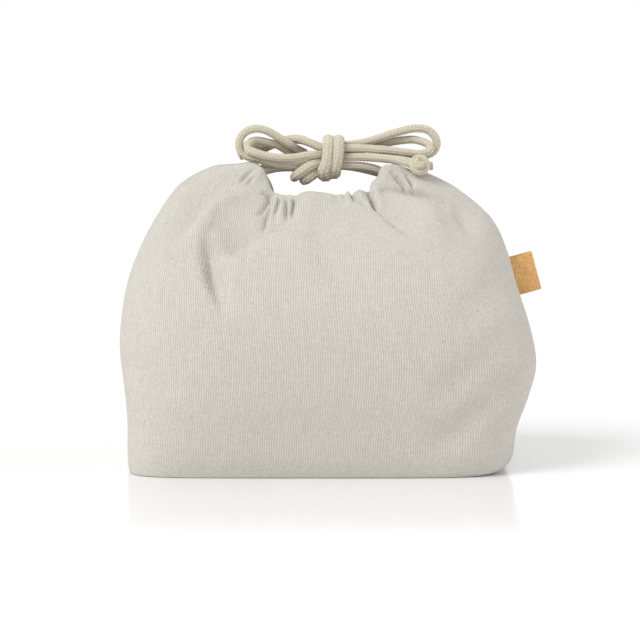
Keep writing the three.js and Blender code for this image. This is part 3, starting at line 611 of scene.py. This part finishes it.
def fold_rise(side, x, z):
    """How far the folds lift the cloth at each place of a panel."""
    rise = np.zeros_like(x)
    for x1, z1, rise1, x2, z2, rise2, x3, z3, rise3, wide_left, wide_right, sharp in FOLDS[side]:
        q = np.linspace(0, 1, FOLD_STEPS + 1)
        a, b, c = (1 - q) ** 2, 2 * q * (1 - q), q * q
        line_x = a * x1 + b * (2 * x2 - (x1 + x3) / 2) + c * x3
        line_z = a * z1 + b * (2 * z2 - (z1 + z3) / 2) + c * z3
        nearest, along = np.full(x.shape, np.inf), np.zeros_like(x)
        width = np.full(x.shape, wide_left)
        for k in range(FOLD_STEPS):
            dx, dz = line_x[k + 1] - line_x[k], line_z[k + 1] - line_z[k]
            share = np.clip(((x - line_x[k]) * dx + (z - line_z[k]) * dz) / (dx * dx + dz * dz), 0, 1)
            away = np.hypot(x - line_x[k] - share * dx, z - line_z[k] - share * dz)
            nearer = away < nearest
            nearest = np.where(nearer, away, nearest)
            on_left = dx * (z - line_z[k]) > dz * (x - line_x[k])
            width = np.where(nearer, np.where(on_left, wide_left, wide_right), width)
            along = np.where(nearer, (k + share) / FOLD_STEPS, along)
        height = np.where(along < 0.5, rise1 + (rise2 - rise1) * smoothstep(0, 0.5, along),
                          rise2 + (rise3 - rise2) * smoothstep(0.5, 1, along))
        rise += height * np.exp(-((nearest / width) ** sharp))
    return FOLD_LIMIT * np.tanh(rise / FOLD_LIMIT)


def sheet_levels():
    """The level of each row of a sheet, and whether the row is inside the hem."""
    starts = [0] + [end for end, rows in SHEET_ROWS]
    outside = np.concatenate([np.linspace(start, end, rows, endpoint=False)
                              for start, (end, rows) in zip(starts, SHEET_ROWS)])
    levels = np.concatenate([outside, [LAST_LEVEL], np.linspace(LAST_LEVEL - LIP, HEM_END, HEM_ROWS)])
    return levels, np.arange(len(levels)) > len(outside)


def panel_sheet(side):
    """The panel's points row by row, from the base up and down again inside the hem, and its flat UVs."""
    outward = OUTWARD[side]
    levels, inside = sheet_levels()
    lines, lengths = zip(*(level_line(side, t) for t in levels))
    normals = np.array([line_normals(side, t, line) for t, line in zip(levels, lines)])
    lines = np.array(lines)
    lengths, levels, inside = (np.array(values)[:, None] for values in (lengths, levels, inside))
    column = np.arange(PANEL_COLUMNS + 1)
    from_seam = np.minimum(column, PANEL_COLUMNS - column) / PANEL_COLUMNS * lengths
    hem = smoothstep(CASING_START, CASING_START + CASING_RAMP, levels)
    slit = smoothstep(SLIT_START, SLIT_START + SLIT_RAMP, levels)

    # The folds stand out from the level lines, and the cloth inside the hem stays behind the outside.
    rise = fold_rise(side, lines[..., 0], lines[..., 2]) * (1 - np.exp(-((from_seam / FOLD_FADE) ** 2)))
    lift = np.where(inside, rise * (1 - HEM_EVENNESS * hem) - (2 * CLOTH + (CASING - 2 * CLOTH) * hem), rise)
    points = lines + normals * lift[..., None]

    # The mouth dips at the seams, and the panels stand a seam or a slit apart there.
    depth = np.where(column < PANEL_COLUMNS / 2, VALLEY_DEPTH["left"], VALLEY_DEPTH["right"])
    points[..., 2] -= depth * slit * np.exp(-((from_seam / VALLEY_WIDTH) ** 2))
    points[..., 2] = np.maximum(0, points[..., 2])
    away = np.maximum(0, outward * points[..., 1])
    away[:, [0, -1]] = 0
    apart = 0.5 * SEAM_GAP + 0.5 * (SLIT_WIDTH - SEAM_GAP) * slit
    points[..., 1] = outward * (away + apart * np.exp(-away / SLIT_REACH))

    # The same places on the flat cut.
    half = lengths / 2
    place = (column / PANEL_COLUMNS - 0.5) * 2
    flat = place * half + np.minimum(FLAT_HALF - half, SPREAD_SHARE * half) * np.maximum(0, place) ** 2
    middle = points[:, PANEL_COLUMNS // 2]
    up = np.concatenate([[0], np.cumsum(np.linalg.norm(np.diff(middle, axis=0), axis=1))])
    return points, flat, up


# The weave: how wide a yarn is and how far it wanders, how deep it dips at a crossing, its slubs, what makes
# a spot light, with painted light on the yarns' tops and painted shade between them, and its flecks.
YARN_WIDTH = 1.17
WANDER_SCALE, WANDER = 180.0, 0.9
CROSSING_DROP = 0.35
WEFT_HEIGHT = 0.7
SLUBS_PER_METRE, SLUB_SCALE = 90.0, 0.83
WARP_SLUBS, WEFT_SLUBS = 0.0, 7.0
SHADE_AND_TONE_WEIGHTS = {"warp": 0.56, "weft": 0.12, "spot": 0.16, "warp_slub": 0.22, "weft_slub": 0.12}
FLECK_SCALE, FLECK_SIZE, FLECK_RARITY, FLECK_SHARE = 240.0, 0.16, 0.74, 0.36
CANVAS_ROUGHNESS, CANVAS_SHEEN = 0.92, 0.12
CANVAS_DARK, CANVAS_LIGHT = (0.312, 0.296, 0.263), (0.6, 0.568, 0.509)
FLECK_COLOUR = (0.2, 0.17, 0.12)
WEAVE_BUMP, WEAVE_DEPTH = 0.7, 0.22


def yarn_set(group, own, other, height, flip):
    """One of the two sets of yarns: each yarn's number, how near its middle is, and how high it lies."""
    number = calculate(group, "FLOOR", own)
    top = calculate(group, "SINE", calculate(group, "MULTIPLY", calculate(group, "FRACT", own), math.pi))
    crossing = calculate(group, "ADD", calculate(group, "SUBTRACT", other, 0.5), number)
    wave = calculate(group, "COSINE", calculate(group, "MULTIPLY_ADD", crossing, math.pi, flip))
    lift = calculate(group, "MULTIPLY_ADD", wave, CROSSING_DROP, 1 - CROSSING_DROP)
    return number, top, calculate(group, "MULTIPLY", calculate(group, "MULTIPLY", top, lift), height)


def slubs(group, across, along, layer):
    """Thick and thin stretches along the yarns of one set, each set with a noise layer of its own."""
    strand = new_node(group, "ShaderNodeCombineXYZ", {0: across, 1: along, 2: layer})
    return noise(group, strand.outputs[0], SLUB_SCALE, detail=1.0)


def flecks(group, cloth):
    """Small dark bits of husk, here and there."""
    inputs = {"Vector": cloth, "Scale": FLECK_SCALE, "Randomness": 1.0}
    dots = new_node(group, "ShaderNodeTexVoronoi", inputs)
    chance = new_node(group, "ShaderNodeSeparateColor", {0: dots.outputs["Color"]})
    size = calculate(group, "MULTIPLY", chance.outputs[1], FLECK_SIZE)
    near = calculate(group, "LESS_THAN", dots.outputs["Distance"], size)
    rare = calculate(group, "GREATER_THAN", chance.outputs[0], FLECK_RARITY)
    return calculate(group, "MULTIPLY", near, rare)


def weave_group():
    """Plain weave: where the yarns rise, how light each spot is, with painted light on the yarns' tops and
    painted shade between them, and where flecks lie.
    """
    group = bpy.data.node_groups.new("canvas_weave", "ShaderNodeTree")
    socket = group.interface.new_socket
    socket("Cloth", in_out="INPUT", socket_type="NodeSocketVector")
    socket("Yarn width", in_out="INPUT", socket_type="NodeSocketFloat")
    for name in ("Height", "Shade and tone", "Flecks"):
        socket(name, in_out="OUTPUT", socket_type="NodeSocketFloat")
    start, end = group.nodes.new("NodeGroupInput"), group.nodes.new("NodeGroupOutput")
    cloth, width = start.outputs["Cloth"], start.outputs["Yarn width"]
    places = new_node(group, "ShaderNodeSeparateXYZ", {0: cloth})
    wander = noise(group, cloth, WANDER_SCALE, detail=2.0)
    shift = calculate(group, "MULTIPLY_ADD", wander, WANDER, -WANDER / 2)
    warp, weft = (calculate(group, "ADD", calculate(group, "DIVIDE", places.outputs[k], width), shift)
                  for k in (0, 1))
    warp_number, warp_top, warp_height = yarn_set(group, warp, weft, 1.0, 0.0)
    weft_number, weft_top, weft_height = yarn_set(group, weft, warp, WEFT_HEIGHT, math.pi)
    group.links.new(calculate(group, "MAXIMUM", warp_height, weft_height), end.inputs["Height"])
    crossing = new_node(group, "ShaderNodeCombineXYZ", {0: warp_number, 1: weft_number})
    spot = new_node(group, "ShaderNodeTexWhiteNoise", {"Vector": crossing.outputs[0]}, noise_dimensions="2D")
    across, along = (calculate(group, "MULTIPLY", places.outputs[k], SLUBS_PER_METRE) for k in (0, 1))
    shades = {
        "warp": warp_top,
        "weft": weft_top,
        "spot": spot.outputs["Value"],
        "warp_slub": slubs(group, warp_number, along, WARP_SLUBS),
        "weft_slub": slubs(group, across, weft_number, WEFT_SLUBS),
    }
    # Painted light and shade: the yarns' tops weigh in lighter and the places between them darker; the spots
    # and slubs are the yarn's own tone.
    shade_and_tone = 0
    for name, shade in shades.items():
        shade_and_tone = calculate(group, "MULTIPLY_ADD", shade, SHADE_AND_TONE_WEIGHTS[name], shade_and_tone)
    group.links.new(shade_and_tone, end.inputs["Shade and tone"])
    group.links.new(flecks(group, cloth), end.inputs["Flecks"])
    return group


def undyed_canvas():
    """Plain-woven cotton and linen, matt, its yarns painted light on top and painted darker between, as
    shade falls there.
    """
    material, tree, surface = new_material("undyed_canvas", CANVAS_ROUGHNESS)
    surface.inputs["Sheen Weight"].default_value = CANVAS_SHEEN
    uv = new_node(tree, "ShaderNodeUVMap", uv_map="UVMap")
    weave = new_node(tree, "ShaderNodeGroup", node_tree=weave_group())
    tree.links.new(uv.outputs[0], weave.inputs["Cloth"])
    weave.inputs["Yarn width"].default_value = YARN_WIDTH * MM
    # The colour runs from dark to light: painted shade between the yarns, painted light on their tops, and
    # the yarn's own tone.
    woven = mixed_colours(tree, weave.outputs["Shade and tone"], CANVAS_DARK, CANVAS_LIGHT)
    fleck = calculate(tree, "MULTIPLY", weave.outputs["Flecks"], FLECK_SHARE)
    tree.links.new(mixed_colours(tree, fleck, woven, FLECK_COLOUR), surface.inputs["Base Color"])
    add_bump(tree, surface, weave.outputs["Height"], WEAVE_BUMP, WEAVE_DEPTH)
    return material


canvas = undyed_canvas()
panel_rows = {}
for side in ("front", "back"):
    rows, flat, up = panel_sheet(side)
    panel_rows[side] = rows
    last = len(rows) - 1

    def place(u, v):
        """The sheet's points, in metres."""
        return rows[np.rint(v * last).astype(int), np.rint(u * PANEL_COLUMNS).astype(int)] * MM

    def flat_cut(u, v):
        """The same points on the flat cut, in metres."""
        row, column = np.rint(v * last).astype(int), np.rint(u * PANEL_COLUMNS).astype(int)
        return flat[row, column] * MM, up[row] * MM

    bm = shaped_grid(PANEL_COLUMNS, last, place)
    set_uvs(bm, flat_cut)
    if side == "back":
        bmesh.ops.reverse_faces(bm, faces=bm.faces)
    panel = new_piece(f"canvas_{side}", bm, canvas)
    solidify = panel.modifiers.new("cloth", "SOLIDIFY")
    solidify.thickness = CLOTH * MM
    solidify.offset = -1
    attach(panel, "root")
    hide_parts(f"{side}_panel")

# Base
# An oblong of the same canvas, sewn all round to the lower edges of both panels. It lies flat on the
# table, and the bag stands on it. Its edge takes every fourth point of the panels' first rows.
EDGE_STEP = 4

bm = bmesh.new()
edge = np.vstack([panel_rows["front"][0], panel_rows["back"][0][::-1]])
middle = edge.mean(axis=0)
shrink = 1 - (CLOTH + SEAM_GAP) / np.linalg.norm(edge - middle, axis=1)
rim = [bm.verts.new((middle + (point - middle) * share) * MM)
       for point, share in zip(edge[::EDGE_STEP], shrink[::EDGE_STEP])]
bm.faces.new(rim)
bmesh.ops.recalc_face_normals(bm, faces=bm.faces)
top = bmesh.ops.extrude_face_region(bm, geom=bm.faces[:])["geom"]
bmesh.ops.translate(bm, vec=(0, 0, CLOTH * MM), verts=[v for v in top if isinstance(v, bmesh.types.BMVert)])
bmesh.ops.recalc_face_normals(bm, faces=bm.faces)
layer = bm.loops.layers.uv.new("UVMap")
for face in bm.faces:
    for loop in face.loops:
        loop[layer].uv = loop.vert.co[:2]
base = new_piece("canvas_base", bm, canvas, smooth=False)
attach(base, "root")
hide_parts("base_panel")

# Side tab
# A small strip of kraft leather paper with a cork grain, its inner end caught in the side seam and its
# outer corners cut a little round.
TAB_TALL, TAB_WIDE, TAB_THICK = 19.8, 14.4, 1.3
TAB_CORNER, CORNER_STEPS = 0.8, 6
TAB_MIDDLE, TAB_TILT = (96.1, 94.2), 15.5
KRAFT_ROUGHNESS = 0.6
KRAFT_DARK, KRAFT_LIGHT, GRAIN_COLOUR = (0.56, 0.285, 0.085), (0.88, 0.53, 0.2), (0.28, 0.13, 0.05)
PATCH_SCALE, GRAIN_SCALE = 220.0, 1300.0
GRAIN_LEVEL, GRAIN_SHARE = 0.44, 0.5
GRAIN_BUMP, GRAIN_DEPTH = 0.5, 0.1


def kraft_leather_paper():
    """Light brown kraft paper with dark specks of cork."""
    material, tree, surface = new_material("kraft_leather_paper", KRAFT_ROUGHNESS)
    place = new_node(tree, "ShaderNodeTexCoord").outputs["Object"]
    grain = noise(tree, place, GRAIN_SCALE, detail=4.0)
    warm = mixed_colours(tree, noise(tree, place, PATCH_SCALE, detail=2.0), KRAFT_DARK, KRAFT_LIGHT)
    speck = calculate(tree, "LESS_THAN", grain, GRAIN_LEVEL)
    colour = mixed_colours(tree, calculate(tree, "MULTIPLY", speck, GRAIN_SHARE), warm, GRAIN_COLOUR)
    tree.links.new(colour, surface.inputs["Base Color"])
    add_bump(tree, surface, grain, GRAIN_BUMP, GRAIN_DEPTH)
    return material


bm = bmesh.new()
bmesh.ops.create_cube(bm, size=1)
bmesh.ops.scale(bm, vec=(TAB_WIDE * MM, TAB_THICK * MM, TAB_TALL * MM), verts=bm.verts)
outer = [edge for edge in bm.edges if all(v.co.x > 0 for v in edge.verts)
         and abs(edge.verts[0].co.y - edge.verts[1].co.y) > 0.5 * TAB_THICK * MM]
bmesh.ops.bevel(bm, geom=outer, offset=TAB_CORNER * MM, offset_type="OFFSET", segments=CORNER_STEPS,
                profile=0.5, affect="EDGES", material=-1)
tilt = Matrix.Rotation(-math.radians(TAB_TILT), 3, "Y")
bmesh.ops.rotate(bm, cent=(0, 0, 0), verts=bm.verts, matrix=tilt)
bmesh.ops.translate(bm, vec=(TAB_MIDDLE[0] * MM, 0, TAB_MIDDLE[1] * MM), verts=bm.verts)
tab = new_piece("kraft_tab", bm, kraft_leather_paper(), smooth=False)
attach(tab, "root")
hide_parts("side_tab")

# Floor and light
# The bag stands on a plain white table, glossy under it and matt towards the camera. The light is soft
# from all round, with one wide lamp at the upper left and two weaker ones.
TABLE_HALF, TABLE_DROP = 4000, 0.2
TABLE_COLOUR, TABLE_ROUGHNESS = (0.9, 0.9, 0.9), 0.16
MATT_END, GLOSS_START, GLOSS = -190, -50, 0.9
LAMPS = {  # the lamp's direction, its spread in degrees, its strength
    "key_lamp": ((-0.62, -0.42, 0.7), 34, 2.3),
    "front_lamp": ((-0.3, -1, 0.05), 60, 0.42),
    "fill_lamp": ((0.97, -0.05, 0.25), 50, 1.15),
}
# How bright the white sky is as light on the pieces, and where it is seen or mirrored.
SKY_ON_PIECES, SKY_SEEN = 0.56, 1.0


def white_table():
    """Smooth white board, which mirrors less and less from the bag towards the camera."""
    material, tree, surface = new_material("white_table", TABLE_ROUGHNESS)
    surface.inputs["Base Color"].default_value = (*TABLE_COLOUR, 1)
    place = new_node(tree, "ShaderNodeTexCoord").outputs["Object"]
    ahead = new_node(tree, "ShaderNodeSeparateXYZ", {0: place}).outputs[1]
    ramp = {0: ahead, 1: MATT_END * MM, 2: GLOSS_START * MM, 3: 0.0, 4: GLOSS}
    gloss = new_node(tree, "ShaderNodeMapRange", ramp, interpolation_type="SMOOTHSTEP")
    tree.links.new(gloss.outputs[0], surface.inputs["Specular IOR Level"])
    return material


bm = bmesh.new()
bmesh.ops.create_grid(bm, x_segments=1, y_segments=1, size=TABLE_HALF * MM)
bmesh.ops.translate(bm, vec=(0, 0, -TABLE_DROP * MM), verts=bm.verts)
table = new_piece("table", bm, white_table(), smooth=False)

for name, (towards, spread, strength) in LAMPS.items():
    lamp_data = bpy.data.lights.new(name, "SUN")
    lamp_data.angle = math.radians(spread)
    lamp_data.energy = strength
    lamp = bpy.data.objects.new(name, lamp_data)
    bpy.context.scene.collection.objects.link(lamp)
    lamp.location = towards
    lamp.rotation_euler = Vector(towards).to_track_quat("Z", "Y").to_euler()

world = bpy.data.worlds.new("studio")
world.use_nodes = True
bpy.context.scene.world = world
sky = world.node_tree.nodes["Background"]
ray = new_node(world.node_tree, "ShaderNodeLightPath")
seen = calculate(world.node_tree, "MAXIMUM", ray.outputs["Is Camera Ray"], ray.outputs["Is Glossy Ray"])
strength = calculate(world.node_tree, "MULTIPLY_ADD", seen, SKY_SEEN - SKY_ON_PIECES, SKY_ON_PIECES)
sky.inputs["Color"].default_value = (1, 1, 1, 1)
world.node_tree.links.new(strength, sky.inputs["Strength"])
bpy.context.scene.view_settings.view_transform = "Standard"
